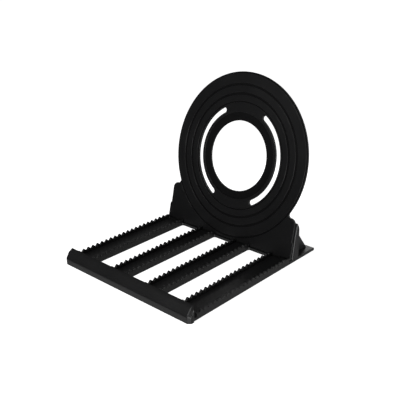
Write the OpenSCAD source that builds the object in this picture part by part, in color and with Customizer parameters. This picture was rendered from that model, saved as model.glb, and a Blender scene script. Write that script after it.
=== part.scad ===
// Desk stand: slatted base with toothed ridges, front lip, rear upstand with
// gussets, and a backrest shaped like a ringed disc that tilts on two pins.
// Millimetres. Z up, front lip towards -Y, origin at the middle of the footprint
// on the table.

/* [Base] */
// Width of the base over its side walls
base_w = 301; // [290:1:320]
// Depth of the base from the front of the lip to the rear edge
base_d = 331; // [325:1:345]
// Height of the deck above the table
deck_z = 6; // [5.5:0.25:8]
// Thickness of the deck skin
deck_t = 2.5; // [2:0.25:3]
// Height of the underside above the table
skirt_z = 0.5; // [0.5:0.25:1.5]
// Radius of the rear corners in plan
rear_corner_r = 3.5; // [3:0.5:8]
// Depth over which the deck rounds down at the rear edge
rear_edge = 10; // [6:0.5:12]

/* [Slats] */
// Width of each of the three long openings
slot_w = 48.6; // [44:0.2:52]
// Spacing of the openings, centre to centre
slot_pitch = 84.1; // [80:0.1:88]
// Front end of the openings, measured from the front of the lip
slot_front = 23; // [21:1:40]
// Rear end of the openings, measured from the front of the lip
slot_rear = 252; // [246:0.5:252]
// Radius of the corners of the openings in plan
slot_corner_r = 4; // [2:0.5:6]
// Thickness of the toothed ridges
ridge_t = 3.6; // [3:0.1:4.5]
// Height of the bottom of the notches between teeth
valley_z = 11; // [9:0.25:12]
// Height of the tips of the teeth
tip_z = 15; // [13.5:0.25:17]
// Distance from one tooth to the next
tooth_pitch = 10.45; // [8:0.05:12]
// Number of teeth on each ridge
tooth_n = 21; // [10:1:21]
// First notch behind the lip, measured from the front of the lip
tooth_start = 24; // [22:0.25:26]

/* [Front lip] */
// Height of the lip
lip_h = 27; // [24:0.5:32]
// Depth of the lip at its top, which hangs over towards the slats
lip_d = 15; // [14:0.5:16]
// How far the lip stands out past each side wall
lip_over = 2; // [1.5:0.25:3]
// Wall thickness of the lip
lip_wall = 2.4; // [2:0.1:2.8]
// Radius of the lip's front corners in plan
lip_corner_r = 4.5; // [3:0.5:6]

/* [Backrest] */
// Radius of the disc
disc_r = 150.8; // [146:0.2:152]
// Radius of the hole in the disc
hole_r = 64; // [60:0.2:72]
// Thickness of the panel
panel_t = 4.4; // [4:0.1:5]
// Height of the disc's centre above the pivot, along the panel
disc_s = 157.9; // [154:0.1:160]
// Inner radius of the two curved openings
arc_in = 84.6; // [82:0.2:87]
// Outer radius of the two curved openings
arc_out = 94.2; // [91:0.2:95]
// Half of the angle that each curved opening spans, to the centre of its round end
arc_half = 58.4; // [45:0.2:65]
// Height of the foot of the panel above the pivot, along the panel
foot_top = 76.7; // [70:0.5:80]
// Half width of the upper part of the foot
foot_hw = 147; // [146:0.5:148]
// Half width of the lower part of the foot
foot_hw_low = 149.8; // [148:0.2:150]
// Radius of the foot's top corners
foot_corner_r = 11; // [6:0.5:11]
// Depth of the ring grooves
groove_d = 0.8; // [0.4:0.1:1]
// Lean of the panel from the vertical when it rests on the upstand
lean = 13.8; // [12:0.1:16]

/* [Hinge] */
// Pivot, measured from the front of the lip
pivot_y = 255.1; // [254.8:0.1:255.6]
// Height of the pivot above the table
pivot_z = 3.8; // [3.6:0.1:4]
// Radius of the hinge pins
pin_r = 1.2; // [1:0.05:1.25]
// Running clearance of the pins in the panel
pin_gap = 0.05; // [0.03:0.01:0.1]
// Width of the two tongues that go down to the pins
tongue_w = 18; // [14:1:20]

/* [Rear upstand] */
// Height of the upstand's front edge above the table
up_h = 71; // [66:1:74]
// Rear face of the upstand, measured from the front of the lip
up_back = 279.5; // [278.5:0.5:281]
// Wall thickness of the upstand
up_wall = 2.4; // [2:0.1:3]
// Clearance between the panel and the upstand
stop_gap = 0.3; // [0.25:0.05:0.6]
// Foot of the gussets, measured from the front of the lip
gusset_toe = 321.5; // [310:0.5:323]
// Thickness of the gussets
gusset_t = 3; // [2:0.25:4]

/* [Feet and screws] */
// Radius of the rubber feet
foot_pad_r = 5.5; // [4:0.25:6]
// Radius of the screw shanks
screw_r = 1.5; // [1.25:0.05:1.75]

/* [View] */
// Piece to draw

/* [Hidden] */
$fn = 96;

hw = base_w / 2;
hs = slot_w / 2;
under = deck_z - deck_t;
ridge_end = 252.9;
ridge_start = 18.5;
flat_z = 13;
lip_foot = lip_d * 11.3 / 15;
up_foot = 261.5;

// plan positions, measured from the front of the lip
lip_screw_x = [-125, -42, 42, 125];
lip_screw_y = 7.2;
up_screw_x = [-128, -42, 42, 128];
up_screw_y = 270.4;
pads = [[-141, 30], [141, 30], [-128, 140], [128, 140], [-143, 308.5], [143, 308.5]];
tongue_in = hw - 4 - tongue_w;
tongue_out = hw - 4;

// panel plane at rest: distance c behind the mid plane, at height z
function plane_y(c, z) =
    pivot_y + c * cos(lean) + ((z - pivot_z + c * sin(lean)) / cos(lean)) * sin(lean);

module front() { translate([0, -base_d / 2, 0]) children(); }

// a (y, z) outline drawn out along x, centred on x
module along_x(x, w) {
    translate([x - w / 2, 0, 0]) rotate([90, 0, 90]) linear_extrude(height = w) children();
}

module bar(x0, x1, y0, y1, z0, z1) {
    translate([x0, y0, z0]) cube([x1 - x0, y1 - y0, z1 - z0]);
}

// ---------------------------------------------------------------- base tray
module ridge_outline() {
    polygon(concat(
        [[ridge_start, skirt_z], [ridge_start, flat_z - 1.5], [ridge_start + 1.5, valley_z], [tooth_start, valley_z]],
        [for (i = [0 : tooth_n - 1]) for (k = [0 : 3])
            let (y = tooth_start + i * tooth_pitch)
            k == 0 ? [y + tooth_pitch * 0.12, valley_z]
          : k == 1 ? [y + tooth_pitch * 0.46, tip_z]
          : k == 2 ? [y + tooth_pitch * 0.60, tip_z]
          : [y + tooth_pitch * 0.94, valley_z]],
        [[tooth_start + tooth_n * tooth_pitch + 0.6, valley_z],
         [tooth_start + tooth_n * tooth_pitch + 1.6, flat_z],
         [ridge_end, flat_z], [ridge_end, skirt_z]]));
}

// one long opening, with rounded corners
module slot_plan() {
    r = slot_corner_r;
    translate([-hs, slot_front + r]) square([slot_w, slot_rear - slot_front - 2 * r]);
    translate([-hs + r, slot_front]) square([slot_w - 2 * r, slot_rear - slot_front]);
    for (s = [-1, 1]) for (y = [slot_front + r, slot_rear - r]) translate([s * (hs - r), y]) circle(r = r);
}

module deck_plan() {
    difference() {
        union() {
            translate([-hw, 2.6]) square([base_w, base_d - 2.6 - rear_corner_r]);
            translate([-hw + rear_corner_r, 20]) square([base_w - 2 * rear_corner_r, base_d - 20]);
            for (s = [-1, 1]) translate([s * (hw - rear_corner_r), base_d - rear_corner_r]) circle(r = rear_corner_r);
        }
        for (i = [-1, 0, 1]) translate([i * slot_pitch, 0]) slot_plan();
    }
}

// deck side view: flat top that rounds down at the rear edge
module deck_outline() {
    e = rear_edge / 10;
    polygon([[2.6, skirt_z], [2.6, deck_z], [base_d - 10 * e, deck_z], [base_d - 6 * e, deck_z - 0.2],
             [base_d - 3 * e, deck_z - 0.7], [base_d - 1 * e, deck_z - 1.6], [base_d - 0.2 * e, deck_z - 2.6],
             [base_d, deck_z - 3.8], [base_d, skirt_z]]);
}

module hollows() {
    // below the slats
    h = hs + ridge_t;
    w_in = slot_pitch - slot_w - 2 * ridge_t;
    for (s = [-1, 1]) {
        translate([s * slot_pitch / 2 - w_in / 2, 27, 0]) cube([w_in, 220 - 4, under]);
        bar(s > 0 ? slot_pitch + h : -hw + ridge_t, s > 0 ? hw - ridge_t : -slot_pitch - h, 38, 240, 0, under);
    }
    // below the front bar, between the screw seats
    for (x = [-83.5, 0, 83.5]) bar(x - 34, x + 34, 5, slot_front - 3, 0, under);
    // below the rear deck
    for (x = [-115, -39, 39, 115]) bar(x - 33, x + 33, 279, base_d - 9, 0, under);
    for (x = [-84.1, 0, 84.1]) bar(x - 34, x + 34, 255, 276, 0, under);
}

module base_tray() {
    color([0.060, 0.060, 0.065])
    front() difference() {
        union() {
            intersection() {
                linear_extrude(height = deck_z) deck_plan();
                along_x(0, base_w) deck_outline();
            }
            for (i = [-1, 0, 1]) for (s = [-1, 1])
                along_x(i * slot_pitch + s * (hs + ridge_t / 2), ridge_t) ridge_outline();
            for (s = [-1, 1]) along_x(s * (hw - ridge_t / 2), ridge_t) ridge_outline();
        }
        difference() {
            hollows();
            for (p = pads) translate([p[0], p[1], 0]) cylinder(r = foot_pad_r + 2, h = deck_z);
        }
        // seats of the rubber feet
        for (p = pads) translate([p[0], p[1], -1]) cylinder(r = foot_pad_r, h = 3.4);
        // pockets for the tongues of the panel
        for (s = [-1, 1]) {
            xm = s * (tongue_in + tongue_out) / 2;
            along_x(xm, tongue_w + 0.8) union() {
                translate([pivot_y, pivot_z]) circle(r = panel_t / 2 + 0.4);
                translate([pivot_y - panel_t / 2 - 0.4, pivot_z]) square([panel_t + 1.5, 20]);
            }
            along_x(s * (hw - 8.5), 17.1) translate([pivot_y, pivot_z]) circle(r = pin_r);
        }
        // screw holes with seats for the heads
        for (x = lip_screw_x) screw_hole(x, lip_screw_y);
        for (x = up_screw_x) screw_hole(x, up_screw_y);
    }
}

module screw_hole(x, y) {
    translate([x, y, -1]) cylinder(r = screw_r + 0.2, h = deck_z + 2);
    translate([x, y, -1]) cylinder(r = 3.2, h = 4.4);
}

// ---------------------------------------------------------------- front lip
// heights on the lip, scaled to its own height above the deck
function lz(z) = deck_z + (z - 6) * (lip_h - deck_z) / 21;

// upright front, long slope, top edge that hangs over towards the slats
module lip_outline() {
    d = lip_d / 15;
    polygon([[0, skirt_z], [0, lz(10.9)], [0.6 * d, lz(11.8)], [1.2 * d, lz(13.6)], [2.3 * d, lz(15.1)],
             [3.6 * d, lz(16.6)], [4.8 * d, lz(18.1)], [6.0 * d, lz(19.7)], [7.1 * d, lz(21.2)],
             [8.4 * d, lz(22.7)], [10.1 * d, lz(24.1)], [12.0 * d, lz(25.4)], [13.3 * d, lz(26.3)],
             [14.2 * d, lz(26.85)], [14.7 * d, lz(27)], [15.0 * d, lz(26.8)], [14.95 * d, lz(26.3)],
             [14.3 * d, lz(25.4)], [13.0 * d, lz(23.6)], [12.0 * d, lz(21.5)], [11.5 * d, lz(19)],
             [lip_foot, lz(15)], [lip_foot, deck_z], [2.6, deck_z], [2.6, skirt_z]]);
}

module lip_hollow() {
    w = lip_wall;
    u = (lip_foot - 2 * w) / 6.5;
    polygon([[w, deck_z - 1], [w, lz(10.5)], [w + 0.7 * u, lz(12.3)], [w + 1.8 * u, lz(13.8)],
             [w + 3.0 * u, lz(15.3)], [w + 4.2 * u, lz(16.8)], [w + 5.4 * u, lz(18.4)],
             [lip_foot - w, lz(19.9)], [lip_foot - w, deck_z - 1]]);
}

module lip_plan() {
    x = hw + lip_over;
    union() {
        translate([-x, lip_corner_r]) square([2 * x, lip_d + 1]);
        translate([-x + lip_corner_r, 0]) square([2 * (x - lip_corner_r), lip_d]);
        for (s = [-1, 1]) translate([s * (x - lip_corner_r), lip_corner_r]) circle(r = lip_corner_r);
    }
}

module front_lip() {
    x = hw + lip_over;
    color([0.105, 0.105, 0.110])
    front() difference() {
        union() {
            difference() {
                intersection() {
                    linear_extrude(height = lip_h + 1) lip_plan();
                    union() {
                        along_x(0, 2 * x) lip_outline();
                        // closed ends, down to the skirt
                        for (s = [-1, 1]) along_x(s * (x - lip_over / 2), lip_over) union() {
                            lip_outline();
                            translate([1, skirt_z]) square([lip_foot - 1, 10]);
                        }
                    }
                }
                along_x(0, 2 * (x - lip_wall)) lip_hollow();
            }
            intersection() {
                for (p = lip_screw_x) translate([p, lip_screw_y, deck_z]) cylinder(r = 3.4, h = 14.5);
                along_x(0, 2 * x - 4) lip_outline();
            }
            for (p = [-100, -65, 0, 65, 100]) along_x(p, 2) intersection() {
                lip_outline();
                translate([1, deck_z]) square([lip_d - 2, 30]);
            }
        }
        for (p = lip_screw_x) translate([p, lip_screw_y, deck_z - 1]) cylinder(r = screw_r, h = 10.2);
    }
}

// ------------------------------------------------------------- rear upstand
// the front face follows the panel near the top and stands back from it lower down
module up_outline(c) {
    polygon([[up_foot, deck_z], [plane_y(c, up_h - 23), up_h - 23], [plane_y(c, up_h - 1.6), up_h - 1.6],
             [plane_y(c, up_h - 0.6) + 0.25, up_h - 0.6], [plane_y(c, up_h) + 0.9, up_h],
             [plane_y(c, up_h) + 1.6, up_h - 0.3], [plane_y(c, up_h) + 2.2, up_h - 1.3],
             [up_back - 1.6, up_h - 5.4], [up_back - 0.5, up_h - 6.8], [up_back, up_h - 8.4],
             [up_back, deck_z]]);
}

module up_hollow() {
    c = panel_t / 2 + stop_gap + up_wall;
    polygon([[up_foot + up_wall + 0.1, deck_z - 1], [plane_y(c, up_h - 23), up_h - 23],
             [plane_y(c, up_h - 14), up_h - 14], [up_back - up_wall, up_h - 14],
             [up_back - up_wall, deck_z - 1]]);
}

module rear_upstand() {
    c = panel_t / 2 + stop_gap;
    color([0.075, 0.075, 0.080])
    front() difference() {
        union() {
            difference() {
                along_x(0, base_w) up_outline(c);
                for (i = [-2 : 2]) along_x(i * 59, 56.6) up_hollow();
            }
            for (x = up_screw_x) intersection() {
                translate([x, up_screw_y, deck_z]) cylinder(r = 5.2, h = 16);
                along_x(0, base_w - 1) up_outline(c);
            }
            // webs that tie the screw posts to the rear wall
            for (x = up_screw_x) bar(x - 1.2, x + 1.2, up_screw_y, up_back - 1, deck_z, deck_z + 16);
            for (x = [-136, -68, 0, 68, 136]) along_x(x, gusset_t)
                polygon([[up_back - 1, deck_z], [up_back - 1, up_h - 8.6], [up_back + 0.3, up_h - 9.0],
                         [gusset_toe - 1.1, deck_z + 1.8], [gusset_toe, deck_z + 0.6], [gusset_toe, deck_z]]);
        }
        for (x = up_screw_x) translate([x, up_screw_y, deck_z - 1]) cylinder(r = screw_r, h = 12.2);
        // room for the tongues of the panel
        for (s = [-1, 1]) along_x(s * (tongue_in + tongue_out) / 2, tongue_w + 0.8)
            translate([pivot_y, pivot_z]) circle(r = panel_t / 2 + 0.9);
    }
}

// ----------------------------------------------------------- backrest panel
module arc_opening(s) {
    rm = (arc_in + arc_out) / 2;
    difference() {
        intersection() {
            circle(r = arc_out);
            polygon([[0, 0], [s * 200 * cos(arc_half), 200 * sin(arc_half)], [s * 400, 200 * sin(arc_half)],
                     [s * 400, -200 * sin(arc_half)], [s * 200 * cos(arc_half), -200 * sin(arc_half)]]);
        }
        circle(r = arc_in);
    }
    for (a = [-1, 1]) translate([s * rm * cos(arc_half), a * rm * sin(arc_half)]) circle(r = (arc_out - arc_in) / 2 - 0.06);
}

module panel_plan() {
    rf = 5;
    dy = disc_s - foot_top - rf;
    xf = sqrt(pow(disc_r + rf, 2) - dy * dy);
    q = disc_r / (disc_r + rf);
    s0 = 3.3;
    step = 34;
    difference() {
        union() {
            translate([0, disc_s]) circle(r = disc_r, $fn = 240);
            // foot with rounded top corners and a small step at its sides
            translate([-foot_hw, step]) square([2 * foot_hw, foot_top - step - foot_corner_r]);
            translate([-foot_hw + foot_corner_r, step]) square([2 * (foot_hw - foot_corner_r), foot_top - step]);
            for (s = [-1, 1]) translate([s * (foot_hw - foot_corner_r), foot_top - foot_corner_r]) circle(r = foot_corner_r);
            polygon([[-foot_hw_low, s0], [foot_hw_low, s0], [foot_hw_low, step - 2], [foot_hw, step + 2],
                     [-foot_hw, step + 2], [-foot_hw_low, step - 2]]);
            // inner corners between foot and disc
            for (s = [-1, 1]) difference() {
                polygon([[s * (xf - 20), foot_top - 2], [s * xf, foot_top - 2], [s * xf, foot_top],
                         [s * xf * q, disc_s - dy * q], [s * (xf * q - 10), disc_s - dy * q]]);
                translate([s * xf, foot_top + rf]) circle(r = rf);
            }
        }
        translate([0, disc_s]) {
            circle(r = hole_r, $fn = 160);
            arc_opening(1);
            arc_opening(-1);
        }
    }
}

module ring_cut(r, w, d) {
    rotate_extrude($fn = 160)
        polygon([[r - w / 2, 0.5], [r - w / 2, 0], [r - w / 2 + d * 0.7, -d], [r + w / 2 - d * 0.7, -d],
                 [r + w / 2, 0], [r + w / 2, 0.5]]);
}

// drawn flat: x across, y up the panel from the pivot, +z towards the front
module panel_flat() {
    difference() {
        union() {
            translate([0, 0, -panel_t / 2]) linear_extrude(height = panel_t) panel_plan();
            for (s = [-1, 1]) {
                xm = s * (tongue_in + tongue_out) / 2;
                along_x(xm, tongue_w) union() {
                    circle(r = panel_t / 2);
                    translate([0, -panel_t / 2]) square([6, panel_t]);
                }
            }
        }
        translate([0, disc_s, panel_t / 2]) {
            ring_cut(97.8, 2.4, groove_d * 0.8);
            ring_cut(112, 4.6, groove_d);
            ring_cut(128.4, 4.6, groove_d);
            ring_cut(149.6, 3.4, groove_d * 1.2);
        }
        translate([0, disc_s, panel_t / 2 - groove_d]) cylinder(r = 79, h = 5, $fn = 160);
        // lightening recess at the back, above the upstand
        translate([0, disc_s, -panel_t / 2 - 1]) intersection() {
            difference() {
                cylinder(r = disc_r - 4, h = 2.6, $fn = 200);
                translate([0, 0, -1]) cylinder(r = arc_out + 4, h = 6, $fn = 160);
            }
            translate([-200, 72 - disc_s, 0]) cube([400, 400, 4]);
        }
        for (s = [-1, 1])
            translate([s * (tongue_out + 1) - (s > 0 ? 15 : 0), 0, 0]) rotate([0, 90, 0]) cylinder(r = pin_r + pin_gap, h = 15);
    }
}

module backrest_panel() {
    color([0.070, 0.070, 0.075])
    front() translate([0, pivot_y, pivot_z]) rotate([90 - lean, 0, 0]) panel_flat();
}

// ------------------------------------------------------------- small pieces
module hinge_pins() {
    color([0.62, 0.62, 0.64])
    front() for (s = [-1, 1]) translate([s * (hw - 0.2) - (s > 0 ? 16.6 : 0), pivot_y, pivot_z])
        rotate([0, 90, 0]) cylinder(r = pin_r, h = 16.6);
}

module rubber_feet() {
    color([0.030, 0.030, 0.032])
    front() for (p = pads) translate([p[0], p[1], 0]) rotate_extrude()
        polygon([[0, 0], [foot_pad_r - 0.5, 0], [foot_pad_r, 0.5], [foot_pad_r, 2.4], [0, 2.4]]);
}

module one_screw(len) {
    difference() {
        union() {
            translate([0, 0, 1.7]) cylinder(r = 3, h = 1.7);
            translate([0, 0, 3]) cylinder(r = screw_r, h = len - 3);
        }
        for (a = [0, 90]) rotate([0, 0, a]) translate([-1.9, -0.35, 1]) cube([3.8, 0.7, 1.7]);
    }
}

module lip_screws() {
    color([0.62, 0.62, 0.64])
    front() for (x = lip_screw_x) translate([x, lip_screw_y, 0]) one_screw(14);
}

module upstand_screws() {
    color([0.62, 0.62, 0.64])
    front() for (x = up_screw_x) translate([x, up_screw_y, 0]) one_screw(16);
}

base_tray();
front_lip();
rear_upstand();
backrest_panel();
hinge_pins();
rubber_feet();
lip_screws();
upstand_screws();
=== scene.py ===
import math

import bmesh
import bpy
from mathutils import Matrix, Vector, geometry


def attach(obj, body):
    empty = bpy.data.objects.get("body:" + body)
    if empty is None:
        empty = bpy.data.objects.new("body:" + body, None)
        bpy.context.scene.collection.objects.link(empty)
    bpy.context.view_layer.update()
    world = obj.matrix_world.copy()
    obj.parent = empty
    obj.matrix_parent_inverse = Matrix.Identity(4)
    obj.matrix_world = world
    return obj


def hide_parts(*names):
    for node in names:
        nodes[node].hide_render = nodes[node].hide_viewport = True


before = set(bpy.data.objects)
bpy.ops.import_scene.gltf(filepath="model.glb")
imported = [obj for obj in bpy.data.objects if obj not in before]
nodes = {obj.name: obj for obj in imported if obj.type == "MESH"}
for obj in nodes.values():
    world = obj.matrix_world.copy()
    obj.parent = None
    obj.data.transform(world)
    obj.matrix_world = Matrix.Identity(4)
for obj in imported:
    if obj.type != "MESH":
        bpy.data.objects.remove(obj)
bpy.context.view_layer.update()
MM = 0.001

# ------------------------------------------------------------------ sizes, mm
BASE_W, BASE_D = 301.0, 331.0
HW, HD = BASE_W / 2, BASE_D / 2
DECK_Z, SKIRT_Z = 6.0, 0.5
SLOT_W, SLOT_PITCH, SLOT_FRONT, SLOT_REAR, SLOT_R = 48.6, 84.1, 23.0, 252.0, 4.0
RIDGE_T, VALLEY_Z, TIP_Z, PITCH, TEETH, TOOTH_START = 3.6, 11.0, 15.0, 10.45, 21, 24.0
RIDGE_START, RIDGE_END, FLAT_Z = 18.5, 252.9, 13.0
PIVOT_Y, PIVOT_Z, LEAN = 255.1, 3.8, math.radians(13.8)
DISC_R, HOLE_R, DISC_S, T = 150.8, 64.0, 157.9, 4.4
ARC_IN, ARC_OUT, ARC_HALF = 84.6, 94.2, 58.4
UP_H, UP_BACK, UP_FOOT, STOP_C, GUSSET_TOE = 71.0, 279.5, 261.5, 2.5, 321.5
LIP_X, LIP_FOOT = HW + 2.0, 11.3


# ------------------------------------------------------------- mesh helpers
def arc(cx, cy, r, a0, a1, n):
    """Points on a circle from angle a0 to a1 in degrees, ends included."""
    return [
        (
            cx + r * math.cos(math.radians(a0 + (a1 - a0) * i / n)),
            cy + r * math.sin(math.radians(a0 + (a1 - a0) * i / n)),
        )
        for i in range(n + 1)
    ]


def ring(cx, cy, r, n):
    return [
        (cx + r * math.cos(2 * math.pi * i / n), cy + r * math.sin(2 * math.pi * i / n))
        for i in range(n)
    ]


def smooth(mesh, angle=35):
    for p in mesh.polygons:
        p.use_smooth = True
    mesh.set_sharp_from_angle(angle=math.radians(angle))


def plate(name, loops, z0, z1, bevel=0.4, res=2, matrix=None, merge=True):
    """A flat plate with rounded edges from closed outlines in mm, the first outside and the rest holes."""
    cu = bpy.data.curves.new(name, "CURVE")
    cu.dimensions = "2D"
    cu.fill_mode = "BOTH"
    for pts in loops:
        sp = cu.splines.new("POLY")
        sp.points.add(len(pts) - 1)
        for q, (x, y) in zip(sp.points, pts):
            q.co = (x, y, 0, 1)
        sp.use_cyclic_u = True
    cu.bevel_depth = bevel
    cu.bevel_resolution = res
    cu.offset = -bevel
    cu.extrude = max((z1 - z0) / 2 - bevel, 0)
    ob = bpy.data.objects.new(name, cu)
    bpy.context.scene.collection.objects.link(ob)
    dg = bpy.context.evaluated_depsgraph_get()
    me = bpy.data.meshes.new_from_object(ob.evaluated_get(dg))
    bpy.data.objects.remove(ob)
    me.transform(Matrix.Translation((0, 0, (z0 + z1) / 2)))
    if matrix is not None:
        me.transform(matrix)
    bm = bmesh.new()
    bm.from_mesh(me)
    bmesh.ops.remove_doubles(bm, verts=bm.verts, dist=1e-4)
    if merge:
        bmesh.ops.dissolve_limit(
            bm, angle_limit=math.radians(0.4), verts=bm.verts, edges=bm.edges
        )
    bmesh.ops.recalc_face_normals(bm, faces=bm.faces)
    bm.to_mesh(me)
    bm.free()
    return me


def join(name, meshes):
    """One mesh object in the row frame, in metres, from meshes in mm."""
    bm = bmesh.new()
    for me in meshes:
        bm.from_mesh(me)
    me = bpy.data.meshes.new(name)
    bm.to_mesh(me)
    bm.free()
    me.transform(Matrix.Scale(MM, 4))
    smooth(me)
    ob = bpy.data.objects.new(name, me)
    bpy.context.scene.collection.objects.link(ob)
    wn = ob.modifiers.new("normals", "WEIGHTED_NORMAL")
    wn.keep_sharp = True
    return ob


# y measured from the front of the lip to the row frame
FRONT = Matrix.Translation((0, -HD, 0))


def side_plate(name, loops, x, w, bevel=0.4, res=2):
    """A (y, z) outline drawn out along x, centred on x."""
    turn = Matrix(((0, 0, 1, 0), (1, 0, 0, 0), (0, 1, 0, 0), (0, 0, 0, 1)))
    return plate(
        name, loops, -w / 2, w / 2, bevel, res, FRONT @ Matrix.Translation((x, 0, 0)) @ turn
    )


# the panel's own plane: x across, y up from the pivot, z towards the front
PANEL = (
    FRONT
    @ Matrix.Translation((0, PIVOT_Y, PIVOT_Z))
    @ Matrix.Rotation(math.pi / 2 - LEAN, 4, "X")
)

def solid_of(me):
    ob = bpy.data.objects.new("tmp", me)
    bpy.context.scene.collection.objects.link(ob)
    return ob


def carve(me, cutters):
    """The mesh with the cutters taken out of it."""
    a = solid_of(me)
    bs = [solid_of(c) for c in cutters]
    for b in bs:
        m = a.modifiers.new("cut", "BOOLEAN")
        m.operation = "DIFFERENCE"
        m.solver = "EXACT"
        m.object = b
    dg = bpy.context.evaluated_depsgraph_get()
    out = bpy.data.meshes.new_from_object(a.evaluated_get(dg))
    for ob in [a, *bs]:
        bpy.data.objects.remove(ob)
    return out


def box_mesh(x0, x1, y0, y1, z0, z1):
    me = bpy.data.meshes.new("box")
    bm = bmesh.new()
    bmesh.ops.create_cube(bm, size=1)
    for v in bm.verts:
        v.co = (
            x0 + (v.co.x + 0.5) * (x1 - x0),
            y0 + (v.co.y + 0.5) * (y1 - y0),
            z0 + (v.co.z + 0.5) * (z1 - z0),
        )
    bm.to_mesh(me)
    bm.free()
    return me


def post_mesh(x, y, r, z0, z1, n=40):
    me = bpy.data.meshes.new("post")
    bm = bmesh.new()
    lo = [bm.verts.new((px, py, z0)) for px, py in ring(x, y, r, n)]
    hi = [bm.verts.new((px, py, z1)) for px, py in ring(x, y, r, n)]
    for k in range(n):
        q = (k + 1) % n
        bm.faces.new((lo[k], lo[q], hi[q], hi[k]))
    bm.faces.new(hi)
    bm.faces.new(lo[::-1])
    bm.to_mesh(me)
    bm.free()
    return me


def bezier(p0, p1, p2, n):
    out = []
    for k in range(n + 1):
        t = k / n
        out.append(
            tuple(
                (1 - t) ** 2 * a + 2 * t * (1 - t) * b + t * t * c
                for a, b, c in zip(p0, p1, p2)
            )
        )
    return out


def round_corners(pts, radii, n=5):
    """A closed outline with its corners rounded, each by its own radius."""
    out = []
    m = len(pts)
    for k in range(m):
        a, b, c = Vector(pts[k - 1]), Vector(pts[k]), Vector(pts[(k + 1) % m])
        r = radii[k]
        if r <= 0:
            out.append(tuple(b))
            continue
        u, v = (a - b).normalized(), (c - b).normalized()
        d = min(r / math.tan(u.angle(v) / 2), (a - b).length * 0.48, (c - b).length * 0.48)
        out += bezier(tuple(b + u * d), tuple(b), tuple(b + v * d), n)
    return out


# -------------------------------------------------------------------- tray
def ridge_loop():
    pts = [(RIDGE_START, SKIRT_Z), (RIDGE_START, FLAT_Z - 1.5), (RIDGE_START + 1.5, VALLEY_Z)]
    rad = [0.3, 0.6, 0.8]
    for i in range(TEETH):
        y = TOOTH_START + i * PITCH
        for f, z, r in ((0.12, VALLEY_Z, 0.7), (0.46, TIP_Z, 0.7), (0.60, TIP_Z, 0.7), (0.94, VALLEY_Z, 0.7)):
            pts.append((y + PITCH * f, z))
            rad.append(r)
    end = TOOTH_START + TEETH * PITCH
    pts += [(end + 0.6, VALLEY_Z), (end + 1.6, FLAT_Z), (RIDGE_END, FLAT_Z), (RIDGE_END, SKIRT_Z)]
    rad += [0.4, 0.4, 0.8, 0.3]
    return round_corners(pts, rad, 3)


def slot_loop(cx):
    """One opening. Its long sides run inside the ridges, its corners are rounded."""
    h, r, k = SLOT_W / 2, SLOT_R, 1.8
    pts = []
    for sx, sy, a0 in ((1, 1, 0), (-1, 1, 90), (-1, -1, 180), (1, -1, 270)):
        x = cx + sx * (h - r)
        y = SLOT_REAR - r if sy > 0 else SLOT_FRONT + r
        corner = arc(x, y, r, a0, a0 + 90, 8)
        hide = [(cx + sx * (h + k), y - sy * 0.8), (cx + sx * h, y)]
        if a0 in (0, 180):
            pts += hide + corner[1:]
        else:
            pts += corner[:-1] + hide[::-1]
    return pts


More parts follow.
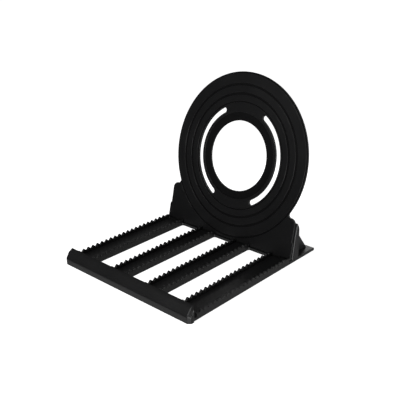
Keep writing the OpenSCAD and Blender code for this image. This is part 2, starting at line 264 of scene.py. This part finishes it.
def tray_mesh():
    k = 0.8
    outer = [(-HW, 2.6), (HW, 2.6), (HW, RIDGE_START + 0.6), (HW - k, RIDGE_START + 0.6)]
    outer += [(HW - k, RIDGE_END - 1.2), (HW, RIDGE_END - 0.5)]
    outer += arc(HW - 3.5, BASE_D - 3.5, 3.5, 0, 90, 8)
    outer += arc(-HW + 3.5, BASE_D - 3.5, 3.5, 90, 180, 8)
    outer += [(-HW, RIDGE_END - 0.5), (-HW + k, RIDGE_END - 1.2)]
    outer += [(-HW + k, RIDGE_START + 0.6), (-HW, RIDGE_START + 0.6)]
    loops = [outer] + [slot_loop(i * SLOT_PITCH) for i in (-1, 0, 1)]
    slab = plate("deck", loops, SKIRT_Z, DECK_Z, 0.3, 1, merge=False)
    # the rear edge rounds down
    drop = [(321, 0), (325, 0.2), (328, 0.7), (330, 1.6), (330.8, 2.6), (331, 3.6)]
    bm = bmesh.new()
    bm.from_mesh(slab)
    for y in (321, 322.5, 324, 325.5, 326.8, 328, 328.9, 329.6, 330.2):
        g = bm.verts[:] + bm.edges[:] + bm.faces[:]
        bmesh.ops.bisect_plane(bm, geom=g, dist=1e-4, plane_co=(0, y, 0), plane_no=(0, 1, 0))
    for v in bm.verts:
        if v.co.y > 321 and v.co.z > DECK_Z - 1.0:
            for (ya, da), (yb, db) in zip(drop, drop[1:]):
                if ya <= v.co.y <= yb + 1e-3:
                    v.co.z -= da + (db - da) * (v.co.y - ya) / (yb - ya)
                    break
    bm.to_mesh(slab)
    bm.free()
    hs, w_in = SLOT_W / 2, SLOT_PITCH - SLOT_W - 2 * RIDGE_T
    top = 3.5
    cut = []
    for sg in (-1, 1):
        c = sg * SLOT_PITCH / 2
        cut.append(box_mesh(c - w_in / 2, c + w_in / 2, 27, 243, -1, top))
        a, b = SLOT_PITCH + hs + RIDGE_T, HW - RIDGE_T
        x0, x1 = (a, b) if sg > 0 else (-b, -a)
        cut.append(box_mesh(x0, x1, 38, 132, -1, top))
        cut.append(box_mesh(x0, x1, 148, 240, -1, top))
    for x in (-83.5, 0, 83.5):
        cut.append(box_mesh(x - 34, x + 34, 5, 20, -1, top))
    for x in (-115, -39, 39, 115):
        cut.append(box_mesh(x - 33 if x > -100 else x - 18, x + 33 if x < 100 else x + 18, 279, BASE_D - 9, -1, top))
    for x in (-84.1, 0, 84.1):
        cut.append(box_mesh(x - 34, x + 34, 255, 276, -1, top))
    for x in (-125, -42, 42, 125):
        cut.append(post_mesh(x, 7.2, 3.2, -1, 3.4, 24))
    for x in (-128, -42, 42, 128):
        cut.append(post_mesh(x, 270.4, 3.2, -1, 3.4, 24))
    for sg in (-1, 1):
        for x, y in ((141, 30), (128, 140), (143, 308.5)):
            cut.append(post_mesh(sg * x, y, 5.5, -1, 2.4, 32))
        # pockets for the tongues of the panel
        xm = sg * (HW - 4 - 9)
        cut.append(box_mesh(xm - 9.4, xm + 9.4, PIVOT_Y - 2.6, PIVOT_Y + 3.7, 1.2, 12))
    slab = carve(slab, cut)
    slab.transform(FRONT)
    parts = [slab]
    loop = ridge_loop()
    for i in (-1, 0, 1):
        for sg in (-1, 1):
            parts.append(side_plate("ridge", [loop], i * SLOT_PITCH + sg * (hs + RIDGE_T / 2), RIDGE_T, 0.35, 2))
    for sg in (-1, 1):
        parts.append(side_plate("wall", [loop], sg * (HW - RIDGE_T / 2), RIDGE_T, 0.35, 2))
    return parts


# --------------------------------------------------------------------- lip
def clip(poly, px, py, nx, ny):
    out = []
    for a, b in zip(poly, poly[1:] + poly[:1]):
        da = (a[0] - px) * nx + (a[1] - py) * ny
        db = (b[0] - px) * nx + (b[1] - py) * ny
        if da >= -1e-9:
            out.append(a)
        if (da > 1e-9 and db < -1e-9) or (da < -1e-9 and db > 1e-9):
            t = da / (da - db)
            out.append((a[0] + t * (b[0] - a[0]), a[1] + t * (b[1] - a[1])))
    return out


def spread(path, n, ease=lambda f: f):
    """n + 1 points along a path, at even steps unless ease bunches them."""
    seg = [math.dist(a, b) for a, b in zip(path, path[1:])]
    total = sum(seg)
    out = [path[0]]
    for k in range(1, n):
        want, run = total * ease(k / n), 0.0
        for (a, b), d in zip(zip(path, path[1:]), seg):
            if run + d >= want:
                t = (want - run) / d if d else 0
                out.append((a[0] + t * (b[0] - a[0]), a[1] + t * (b[1] - a[1])))
                break
            run += d
    out.append(path[-1])
    return out


LIP_FRONT = (
    [(0.0, SKIRT_Z)]
    + bezier((0.0, 10.5), (0.0, 12.15), (1.25, 13.75), 5)
    + bezier((7.1, 21.2), (9.17, 23.83), (14.1, 26.8), 8)
    + [(14.45, 26.96), (14.65, 27.0)]
)
LIP_BACK = [(14.85, 26.93), (15.0, 26.75), (14.96, 26.4), (14.3, 25.4), (13.6, 24.5), (13.0, 23.6)]
LIP_BACK += [(12.45, 22.6), (12.0, 21.5), (11.7, 20.3), (11.5, 19.0), (11.37, 17.0), (LIP_FOOT, 15.0), (LIP_FOOT, DECK_Z)]


def lip_ring(d, end, back_in=0.0):
    """The lip's outline (y, z), with its front and top drawn in by d."""
    poly = LIP_FRONT + LIP_BACK + [(LIP_FOOT, SKIRT_Z)]
    for (y0, z0), (y1, z1) in zip(LIP_FRONT, LIP_FRONT[1:]):
        n = Vector((z1 - z0, -(y1 - y0))).normalized()
        poly = clip(poly, y0 + n.x * d, z0 + n.y * d, n.x, n.y)
    poly = [(y - back_in * min(1, max(0, (y - 6) / 4)), z) for y, z in poly]
    lo = min(range(len(poly)), key=lambda q: (round(poly[q][1], 5), poly[q][0]))
    poly = poly[lo:] + poly[:lo]
    top = max(range(len(poly)), key=lambda q: poly[q][1])
    knee = max(q for q in range(top + 1) if abs(poly[q][0] - poly[0][0]) < 1e-5)
    foot = LIP_FOOT - back_in
    back = [q for q in poly[top:] if q[1] > DECK_Z + 1e-6] + [(foot, DECK_Z)]
    pts = spread(poly[: knee + 1], 3) + spread(poly[knee : top + 1], 22)[1:] + spread(back, 12)[1:]
    y0 = poly[0][0]
    if end:
        pts += [(foot, SKIRT_Z), ((foot + y0) / 2, SKIRT_Z)]
    else:
        pts += [(2.6, DECK_Z), (2.6, SKIRT_Z)]
    return pts


def loft(name, rings):
    """A closed solid through rings of (x, y, z) points, capped at both ends."""
    bm = bmesh.new()
    rs = [[bm.verts.new(p) for p in r] for r in rings]
    n = len(rs[0])
    for a, b in zip(rs, rs[1:]):
        for k in range(n):
            q = (k + 1) % n
            bm.faces.new((a[k], a[q], b[q], b[k]))
    bm.faces.new(rs[0][::-1])
    bm.faces.new(rs[-1])
    bmesh.ops.remove_doubles(bm, verts=bm.verts, dist=1e-4)
    bmesh.ops.recalc_face_normals(bm, faces=bm.faces)
    me = bpy.data.meshes.new(name)
    bm.to_mesh(me)
    bm.free()
    me.transform(FRONT)
    return me


def lip_mesh():
    # (x, drawn in by, back drawn in by): a crisp edge, then a turn into the end face
    turn = bezier((-0.9, 0.0), (0.0, 0.0), (0.75, 0.6), 6)
    turn += bezier(turn[-1], (3.3, 2.6), (4.9, 3.9), 5)[1:]
    turn += bezier(turn[-1], (5.5, 4.4), (5.5, 6.0), 5)[1:]
    half = []
    for t, d in turn:
        u = max(0.0, t - 3.2)
        half.append((LIP_X - 5.5 + t, d, 2.3 - math.sqrt(max(0.0, 2.3**2 - u * u))))
    seam = LIP_X - 2.0
    before = [q for q in half if q[0] < seam - 0.05]
    after = [q for q in half if q[0] > seam + 0.05]
    a, b = before[-1], after[0]
    f = (seam - a[0]) / (b[0] - a[0])
    mid = tuple(m + f * (n - m) for m, n in zip(a, b))
    stations = [(0, 0, 0, False)] + [(*q, False) for q in before] + [(*mid, False), (*mid, True)]
    stations += [(*q, True) for q in after]
    full = [(-x, d, w, e) for x, d, w, e in reversed(stations[1:])] + stations
    return loft("lip", [[(x, y, z) for y, z in lip_ring(d, e, w)] for x, d, w, e in full])


# ----------------------------------------------------------------- upstand
def plane_y(c, z):
    """y of the panel's plane, c behind its middle, at height z."""
    up_panel = (z - PIVOT_Z + c * math.sin(LEAN)) / math.cos(LEAN)
    return PIVOT_Y + c * math.cos(LEAN) + up_panel * math.sin(LEAN)


def upstand_loop():
    """Front face, rounded top and rear face, each with the radius of its end corners."""
    c = STOP_C
    front = [(UP_FOOT, DECK_Z), (plane_y(c, UP_H - 23), UP_H - 23), (plane_y(c, UP_H - 1.9), UP_H - 1.9)]
    top = bezier(front[-1], (plane_y(c, UP_H) + 0.2, UP_H + 1.4), (plane_y(c, UP_H) + 1.9, UP_H - 0.9), 6)
    top += bezier((UP_BACK - 1.9, UP_H - 4.8), (UP_BACK - 0.15, UP_H - 6.7), (UP_BACK, UP_H - 9.2), 6)
    top = [(y, min(z, UP_H)) for y, z in top]
    pts = front[:-1] + top + [(UP_BACK, DECK_Z)]
    radii = [3.0, 3.0] + [1.2] * (len(top) - 1) + [0.6]
    return pts, radii


def upstand_ring(t):
    pts, radii = upstand_loop()
    poly = list(pts)
    for (y0, z0), (y1, z1), r in zip(pts, pts[1:], radii):
        if t >= r:
            continue
        d = r - math.sqrt(r * r - (r - t) ** 2)
        n = Vector((z1 - z0, -(y1 - y0))).normalized()
        poly = clip(poly, y0 + n.x * d, z0 + n.y * d, n.x, n.y)
    lo = min(range(len(poly)), key=lambda q: (round(poly[q][1], 5), poly[q][0]))
    poly = poly[lo:] + poly[:lo]
    top = max(range(len(poly)), key=lambda q: poly[q][1])
    up = spread(poly[: top + 1], 26, lambda f: 1 - (1 - f) ** 2.2)
    down = spread(poly[top:], 26, lambda f: f**2.2)
    return up + down[1:]


def upstand_parts():
    steps = (0, 0.06, 0.18, 0.36, 0.6, 0.9, 1.2, 1.6, 2.0, 2.5, 3.0)
    stations = [(-HW + t, t) for t in steps] + [(HW - t, t) for t in reversed(steps)]
    parts = [loft("block", [[(x, y, z) for y, z in upstand_ring(t)] for x, t in stations])]
    g = round_corners(
        [(UP_BACK - 1, DECK_Z), (GUSSET_TOE, DECK_Z), (GUSSET_TOE, DECK_Z + 0.7), (GUSSET_TOE - 1.1, DECK_Z + 1.8),
         (UP_BACK + 0.3, UP_H - 9.0), (UP_BACK - 1, UP_H - 8.6)],
        [0, 0.2, 0.3, 1.0, 1.0, 0], 4)
    for x in (-136, -68, 0, 68, 136):
        parts.append(side_plate("gusset", [g], x, 3.0, 0.4, 2))
    return parts


# ------------------------------------------------------------------- panel
def panel_outline(cr=11.0):
    hw, low, s0, step, top, rf = 147.0, 149.8, 3.3, 34.0, 76.7, 5.0
    xf = math.sqrt((DISC_R + rf) ** 2 - (DISC_S - top - rf) ** 2)
    ang = math.degrees(math.atan2(DISC_S - top - rf, xf))
    pts = [(-low, s0), (low, s0), (low, step - 2.2), (low - 0.4, step - 1.2), (hw + 0.4, step + 1.2), (hw, step + 2.2)]
    pts += arc(hw - cr, top - cr, cr, 0, 90, 12)[:-1]
    pts += arc(xf, top + rf, rf, 270, 180 - ang, 8)[:-1]
    pts += arc(0, DISC_S, DISC_R, -ang, 180 + ang, 220)[:-1]
    pts += arc(-xf, top + rf, rf, ang, -90, 8)[:-1]
    pts += arc(-hw + cr, top - cr, cr, 90, 180, 12)
    pts += [(-hw, step + 2.2), (-hw - 0.4, step + 1.2), (-low + 0.4, step - 1.2), (-low, step - 2.2)]
    return pts


def arc_slot(sg, grow=0.0):
    rm, rr = (ARC_IN + ARC_OUT) / 2, (ARC_OUT - ARC_IN) / 2 + grow
    h = ARC_HALF
    pts = arc(0, DISC_S, rm + rr, -h, h, 60)
    e = (rm * math.cos(math.radians(h)), DISC_S + rm * math.sin(math.radians(h)))
    pts += arc(e[0], e[1], rr, h, h + 180, 10)[1:-1]
    pts += arc(0, DISC_S, rm - rr, h, -h, 56)
    e = (rm * math.cos(math.radians(-h)), DISC_S + rm * math.sin(math.radians(-h)))
    pts += arc(e[0], e[1], rr, -h + 180, -h + 360, 10)[1:-1]
    return pts if sg > 0 else [(-x, y) for x, y in reversed(pts)]


def foot_land():
    """The raised area of the foot, outside the groove round the disc."""
    r, hw, low, s0, step, top, rf, cr = 151.3, 147.0, 149.8, 3.3, 34.0, 76.7, 5.0, 11.0
    xf = math.sqrt((DISC_R + rf) ** 2 - (DISC_S - top - rf) ** 2)
    far = DISC_R + rf
    ang = math.degrees(math.atan2(DISC_S - top - rf, xf))
    phi = math.degrees(math.acos((far * far + rf * rf - r * r) / (2 * far * rf)))
    q = math.radians(180 - ang + phi)
    px, py = xf + rf * math.cos(q), top + rf + rf * math.sin(q)
    a = math.degrees(math.atan2(py - DISC_S, px))
    pts = [(-low, s0), (low, s0), (low, step - 2.2), (low - 0.4, step - 1.2), (hw + 0.4, step + 1.2), (hw, step + 2.2)]
    pts += arc(hw - cr, top - cr, cr, 0, 90, 12)[:-1]
    pts += arc(xf, top + rf, rf, 270, 180 - ang + phi, 6)
    pts += arc(0, DISC_S, r, a, -180 - a, 90)[1:-1]
    pts += arc(-xf, top + rf, rf, ang - phi, -90, 6)[:-1]
    pts += arc(-hw + cr, top - cr, cr, 90, 180, 12)
    pts += [(-hw, step + 2.2), (-hw - 0.4, step + 1.2), (-low + 0.4, step - 1.2), (-low, step - 2.2)]
    return pts


def panel_parts():
    lo, mid, hi = -T / 2, T / 2 - 1.15, T / 2
    holes = [ring(0, DISC_S, HOLE_R, 160), arc_slot(1), arc_slot(-1)]
    body = plate("panel", [panel_outline()] + holes, lo, mid, 0.45, 2)
    # recess at the back, above the upstand
    a1 = math.degrees(math.asin((72 - DISC_S) / 146.8))
    a2 = math.degrees(math.asin((72 - DISC_S) / 98.2))
    rec = arc(0, DISC_S, 146.8, a1, 180 - a1, 160) + arc(0, DISC_S, 98.2, 180 - a2, a2, 140)
    body = carve(body, [plate("recess", [rec], -5, lo + 1.6, 0.0, 0)])
    # the floor between the rings gets a darker, less glossy material: painted shade in the grooves
    for p in body.polygons:
        if p.normal.z > 0.9 and p.center.z > mid - 0.1:
            p.material_index = 1
    parts = [body]
    z0 = mid - 0.3
    parts.append(plate("land1", [ring(0, DISC_S, 96.6, 200), ring(0, DISC_S, 79.0, 200), arc_slot(1), arc_slot(-1)], z0, hi, 0.6, 3))
    for r0, r1 in ((99.0, 109.7), (114.3, 126.1), (130.7, 147.9)):
        parts.append(plate("land", [ring(0, DISC_S, r1, 240), ring(0, DISC_S, r0, 240)], z0, hi, 0.6, 3))
    parts.append(plate("foot", [foot_land()], z0, hi, 0.4, 2))
    for me in parts:
        me.transform(PANEL)
    # tongues that reach down to the pins
    for sg in (-1, 1):
        # (s, z) outline: round end about the pivot, straight sides up into the foot
        out = arc(0, 0, T / 2, 90, 270, 16) + [(6.0, -T / 2), (6.0, T / 2)]
        me = plate("tongue", [out, ring(0, 0, 1.25, 24)], -9, 9, 0.3, 1)
        lift = Matrix(((0, 0, 1, 0), (1, 0, 0, 0), (0, 1, 0, 0), (0, 0, 0, 1)))
        me.transform(PANEL @ Matrix.Translation((sg * (HW - 13), 0, 0)) @ lift)
        parts.append(me)
    return parts


# ---------------------------------------------------------------- materials


def plastic(name, colour, rough=0.48, grain=0.06, scale=1.0, scuff=0.25, spec=0.5):
    """Moulded black plastic: spark-eroded grain, slight flow marks in the sheen, faint scuffs."""
    m = bpy.data.materials.new(name)
    m.use_nodes = True
    nt = m.node_tree
    n, li = nt.nodes, nt.links
    b = n["Principled BSDF"]
    b.inputs["Specular IOR Level"].default_value = spec
    tc = n.new("ShaderNodeTexCoord")

    fine = n.new("ShaderNodeTexNoise")
    fine.inputs["Scale"].default_value = 1500 * scale
    fine.inputs["Detail"].default_value = 2
    fine.inputs["Roughness"].default_value = 0.6
    li.new(tc.outputs["Object"], fine.inputs["Vector"])
    pits = n.new("ShaderNodeTexVoronoi")
    pits.inputs["Scale"].default_value = 900 * scale
    li.new(tc.outputs["Object"], pits.inputs["Vector"])
    both = n.new("ShaderNodeMath")
    both.operation = "MULTIPLY_ADD"
    both.inputs[1].default_value = 0.6
    li.new(pits.outputs["Distance"], both.inputs[0])
    li.new(fine.outputs["Fac"], both.inputs[2])
    bump = n.new("ShaderNodeBump")
    bump.inputs["Strength"].default_value = grain
    bump.inputs["Distance"].default_value = 0.0004
    li.new(both.outputs["Value"], bump.inputs["Height"])
    li.new(bump.outputs["Normal"], b.inputs["Normal"])

    flow = n.new("ShaderNodeTexNoise")
    flow.inputs["Scale"].default_value = 14
    flow.inputs["Detail"].default_value = 4
    flow.inputs["Distortion"].default_value = 0.6
    li.new(tc.outputs["Object"], flow.inputs["Vector"])
    stretch = n.new("ShaderNodeMapping")
    stretch.inputs["Scale"].default_value = (30, 260, 260)
    stretch.inputs["Rotation"].default_value = (0.3, 0.2, 0.7)
    li.new(tc.outputs["Object"], stretch.inputs["Vector"])
    scr = n.new("ShaderNodeTexNoise")
    scr.inputs["Scale"].default_value = 1.0
    scr.inputs["Detail"].default_value = 5
    scr.inputs["Roughness"].default_value = 0.75
    li.new(stretch.outputs["Vector"], scr.inputs["Vector"])
    cut = n.new("ShaderNodeValToRGB")
    cut.color_ramp.elements[0].position = 0.60
    cut.color_ramp.elements[1].position = 0.78
    li.new(scr.outputs["Fac"], cut.inputs["Fac"])
    base_r = n.new("ShaderNodeMapRange")
    base_r.inputs["From Min"].default_value = 0.3
    base_r.inputs["From Max"].default_value = 0.7
    base_r.inputs["To Min"].default_value = rough - 0.035
    base_r.inputs["To Max"].default_value = rough + 0.045
    li.new(flow.outputs["Fac"], base_r.inputs["Value"])
    add = n.new("ShaderNodeMath")
    add.operation = "MULTIPLY_ADD"
    add.inputs[1].default_value = 0.10 * scuff
    li.new(cut.outputs["Color"], add.inputs[0])
    li.new(base_r.outputs["Result"], add.inputs[2])
    li.new(add.outputs["Value"], b.inputs["Roughness"])

    col = n.new("ShaderNodeMix")
    col.data_type = "RGBA"
    col.inputs["A"].default_value = (*colour, 1)
    col.inputs["B"].default_value = (*[min(1, c * 1.9 + 0.004) for c in colour], 1)
    tint = n.new("ShaderNodeMath")
    tint.operation = "MULTIPLY_ADD"
    tint.inputs[1].default_value = 0.35 * scuff
    li.new(cut.outputs["Color"], tint.inputs[0])
    dust = n.new("ShaderNodeMapRange")
    dust.inputs["From Min"].default_value = 0.35
    dust.inputs["From Max"].default_value = 0.75
    dust.inputs["To Min"].default_value = 0.0
    dust.inputs["To Max"].default_value = 0.35
    li.new(fine.outputs["Fac"], dust.inputs["Value"])
    li.new(dust.outputs["Result"], tint.inputs[2])
    li.new(tint.outputs["Value"], col.inputs["Factor"])
    li.new(col.outputs["Result"], b.inputs["Base Color"])
    return m


def steel(name):
    m = bpy.data.materials.new(name)
    m.use_nodes = True
    nt = m.node_tree
    n, li = nt.nodes, nt.links
    b = n["Principled BSDF"]
    b.inputs["Metallic"].default_value = 1.0
    tc = n.new("ShaderNodeTexCoord")
    no = n.new("ShaderNodeTexNoise")
    no.inputs["Scale"].default_value = 700
    no.inputs["Detail"].default_value = 4
    li.new(tc.outputs["Object"], no.inputs["Vector"])
    r = n.new("ShaderNodeMapRange")
    r.inputs["To Min"].default_value = 0.26
    r.inputs["To Max"].default_value = 0.46
    li.new(no.outputs["Fac"], r.inputs["Value"])
    li.new(r.outputs["Result"], b.inputs["Roughness"])
    c = n.new("ShaderNodeMix")
    c.data_type = "RGBA"
    c.inputs["A"].default_value = (0.42, 0.42, 0.43, 1)
    c.inputs["B"].default_value = (0.62, 0.62, 0.63, 1)
    li.new(no.outputs["Fac"], c.inputs["Factor"])
    li.new(c.outputs["Result"], b.inputs["Base Color"])
    return m


def rubber(name):
    m = bpy.data.materials.new(name)
    m.use_nodes = True
    nt = m.node_tree
    n, li = nt.nodes, nt.links
    b = n["Principled BSDF"]
    b.inputs["Specular IOR Level"].default_value = 0.3
    tc = n.new("ShaderNodeTexCoord")
    no = n.new("ShaderNodeTexNoise")
    no.inputs["Scale"].default_value = 1200
    no.inputs["Detail"].default_value = 3
    li.new(tc.outputs["Object"], no.inputs["Vector"])
    bu = n.new("ShaderNodeBump")
    bu.inputs["Strength"].default_value = 0.15
    bu.inputs["Distance"].default_value = 0.0003
    li.new(no.outputs["Fac"], bu.inputs["Height"])
    li.new(bu.outputs["Normal"], b.inputs["Normal"])
    r = n.new("ShaderNodeMapRange")
    r.inputs["To Min"].default_value = 0.72
    r.inputs["To Max"].default_value = 0.9
    li.new(no.outputs["Fac"], r.inputs["Value"])
    li.new(r.outputs["Result"], b.inputs["Roughness"])
    c = n.new("ShaderNodeMix")
    c.data_type = "RGBA"
    c.inputs["A"].default_value = (0.012, 0.012, 0.012, 1)
    c.inputs["B"].default_value = (0.024, 0.024, 0.025, 1)
    li.new(no.outputs["Fac"], c.inputs["Factor"])
    li.new(c.outputs["Result"], b.inputs["Base Color"])
    return m


mat_tray = plastic("tray_black", (0.006, 0.006, 0.0063), 0.40)
mat_lip = plastic("lip_black", (0.0075, 0.0075, 0.0078), 0.34)
mat_up = plastic("upstand_black", (0.0065, 0.0065, 0.0068), 0.38)
mat_panel = plastic("panel_black", (0.0046, 0.0046, 0.0049), 0.38, spec=0.41)
# painted shade: the groove floors between the rings get a darker base colour and a weaker reflection
mat_groove_shade = plastic("ring_floor_painted_shade", (0.0026, 0.0026, 0.0028), 0.46, spec=0.16)
mat_steel = steel("zinc_steel")
mat_rubber = rubber("foot_rubber")


def dress(ob, mat):
    ob.data.materials.clear()
    ob.data.materials.append(mat)


def build(name, meshes, node, body, mat, groove_shade=None):
    ob = join(name, meshes)
    marked = [p.index for p in ob.data.polygons if p.material_index == 1]
    dress(ob, mat)
    if groove_shade is not None:
        # the faces marked on the groove floors take the painted-shade material
        ob.data.materials.append(groove_shade)
        for k in marked:
            ob.data.polygons[k].material_index = 1
    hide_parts(node)
    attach(ob, body)
    return ob


build("slatted_tray", tray_mesh(), "base_tray", "stand", mat_tray)
build("lip", [lip_mesh()], "front_lip", "stand", mat_lip)
build("upstand", upstand_parts(), "rear_upstand", "stand", mat_up)
build("ringed_backrest", panel_parts(), "backrest_panel", "backrest", mat_panel, mat_groove_shade)
for node, mat in (
    ("hinge_pins", mat_steel),
    ("rubber_feet", mat_rubber),
    ("lip_screws", mat_steel),
    ("upstand_screws", mat_steel),
):
    dress(nodes[node], mat)

# -------------------------------------------------------------- floor, light
floor_me = bpy.data.meshes.new("floor")
bm = bmesh.new()
bmesh.ops.create_grid(bm, x_segments=2, y_segments=2, size=6)
bm.to_mesh(floor_me)
bm.free()
floor = bpy.data.objects.new("floor", floor_me)
bpy.context.scene.collection.objects.link(floor)
fm = bpy.data.materials.new("floor_white")
fm.use_nodes = True
fb = fm.node_tree.nodes["Principled BSDF"]
fb.inputs["Base Color"].default_value = (0.86, 0.86, 0.86, 1)
fb.inputs["Roughness"].default_value = 0.9
fb.inputs["Specular IOR Level"].default_value = 0.1
fb.inputs["Emission Color"].default_value = (1, 1, 1, 1)
fb.inputs["Emission Strength"].default_value = 0.92
floor_me.materials.append(fm)
floor.visible_glossy = False

# a plain white dome behind everything, seen only directly
dome_me = bpy.data.meshes.new("dome")
bm = bmesh.new()
bmesh.ops.create_uvsphere(bm, u_segments=48, v_segments=24, radius=5.9)
bm.to_mesh(dome_me)
bm.free()
dome = bpy.data.objects.new("dome", dome_me)
bpy.context.scene.collection.objects.link(dome)
dm = bpy.data.materials.new("dome_white")
dm.use_nodes = True
db = dm.node_tree.nodes["Principled BSDF"]
db.inputs["Base Color"].default_value = (0.8, 0.8, 0.8, 1)
db.inputs["Emission Color"].default_value = (1, 1, 1, 1)
db.inputs["Emission Strength"].default_value = 1.0
dome_me.materials.append(dm)
dome.visible_diffuse = False
dome.visible_glossy = False
dome.visible_transmission = False
dome.visible_shadow = False

# The surroundings: bright at the horizon behind and on the right, dark overhead.
world = bpy.data.worlds.new("studio")
bpy.context.scene.world = world
world.use_nodes = True
wt = world.node_tree
wn, wl = wt.nodes, wt.links
bg = wn["Background"]
wc = wn.new("ShaderNodeTexCoord")
sep = wn.new("ShaderNodeSeparateXYZ")
wl.new(wc.outputs["Generated"], sep.inputs["Vector"])


def wmath(op, a, b=None, c=None, clamp=False):
    m = wn.new("ShaderNodeMath")
    m.operation = op
    m.use_clamp = clamp
    for k, v in enumerate((a, b, c)):
        if v is None:
            continue
        if isinstance(v, (int, float)):
            m.inputs[k].default_value = v
        else:
            wl.new(v, m.inputs[k])
    return m.outputs["Value"]


def wmap(v, a, b, lo, hi):
    m = wn.new("ShaderNodeMapRange")
    m.interpolation_type = "SMOOTHSTEP"
    for k, x in (("From Min", a), ("From Max", b), ("To Min", lo), ("To Max", hi)):
        m.inputs[k].default_value = x
    wl.new(v, m.inputs["Value"])
    return m.outputs["Result"]


# how far towards the back and right a direction points, from -1 to 1
away = wmath("ADD", wmath("MULTIPLY", sep.outputs["X"], 0.42), wmath("MULTIPLY", sep.outputs["Y"], 0.91))
side_l = wmap(away, -0.40, 0.35, 0.02, 1.15)
band = wmath("MULTIPLY", wmap(sep.outputs["Z"], 0.10, 0.38, 1.0, 0.10), wmap(sep.outputs["Z"], -0.30, 0.02, 0.0, 1.0))
front = wmap(away, 0.0, -0.5, 0.0, 1.0)
over = wmath("MULTIPLY", front, wmap(sep.outputs["Z"], 0.15, 0.50, 0.02, 0.08))
low = wmap(sep.outputs["Z"], -0.33, -0.46, 0.0, 1.0)
front_low = wmath("MULTIPLY", wmath("MULTIPLY", front, 0.48), low)
back_low = wmath("MULTIPLY", wmap(away, 0.35, 0.85, 0.0, 0.40), low)


def patch(direction, spread_from, spread_to, strength):
    """A soft bright spot in the surroundings."""
    dot = wn.new("ShaderNodeVectorMath")
    dot.operation = "DOT_PRODUCT"
    dot.inputs[1].default_value = Vector(direction).normalized()
    wl.new(wc.outputs["Generated"], dot.inputs[0])
    return wmap(dot.outputs["Value"], spread_from, spread_to, 0.0, strength)


level = wmath("MAXIMUM", wmath("MULTIPLY", side_l, band), over)
for more in (
    front_low,
    back_low,
    # low in front on the right: lights the upright rounded corners
    patch((0.67, -0.61, -0.415), 0.86, 0.98, 0.5),
    patch((0.75, -0.65, -0.09), 0.91, 0.985, 6.0),
):
    level = wmath("ADD", level, more)
wl.new(level, bg.inputs["Strength"])
bg.inputs["Color"].default_value = (1, 1, 1, 1)


def area(name, loc, target, size, power, shape="RECTANGLE", size_y=None):
    la = bpy.data.lights.new(name, "AREA")
    la.shape = shape
    la.size = size
    la.size_y = size_y or size
    la.energy = power
    ob = bpy.data.objects.new(name, la)
    ob.location = loc
    ob.rotation_euler = (Vector(target) - Vector(loc)).to_track_quat("-Z", "Y").to_euler()
    bpy.context.scene.collection.objects.link(ob)
    return ob


area("key", (0.05, -1.65, 1.5), (0.05, -0.05, 0.05), 0.5, 21)
# a small panel close behind, seen only in the rear deck
rear = area("rear", (-0.18, 0.50, 0.22), (0.145, 0.15, 0.006), 0.26, 0.36)
rear.visible_camera = False

# -------------------------------------------------------------------- camera
yaw, pitch, roll = math.radians(42.40), math.radians(24.53), math.radians(-0.79)
fwd = Vector(
    (-math.sin(yaw) * math.cos(pitch), math.cos(yaw) * math.cos(pitch), -math.sin(pitch))
)
right = Vector((math.cos(yaw), math.sin(yaw), 0))
up = right.cross(fwd)
r2 = math.cos(roll) * right + math.sin(roll) * up
u2 = -math.sin(roll) * right + math.cos(roll) * up
cam_data = bpy.data.cameras.new("camera")
cam_data.sensor_width = 36
cam_data.lens = 663.6 / 400 * 36
cam_data.shift_x = (200 - 212.5) / 400
cam_data.shift_y = (227.2 - 200) / 400
cam_data.clip_start, cam_data.clip_end = 0.05, 50
cam = bpy.data.objects.new("camera", cam_data)
cam.rotation_mode = "QUATERNION"
cam.location = (0.7431, -0.5934 - HD * MM, 0.5421)
cam.rotation_quaternion = (
    Matrix((r2, u2, -fwd)).transposed().to_quaternion()
)
bpy.context.scene.collection.objects.link(cam)
bpy.context.scene.camera = cam
bpy.context.scene.view_settings.view_transform = "Standard"
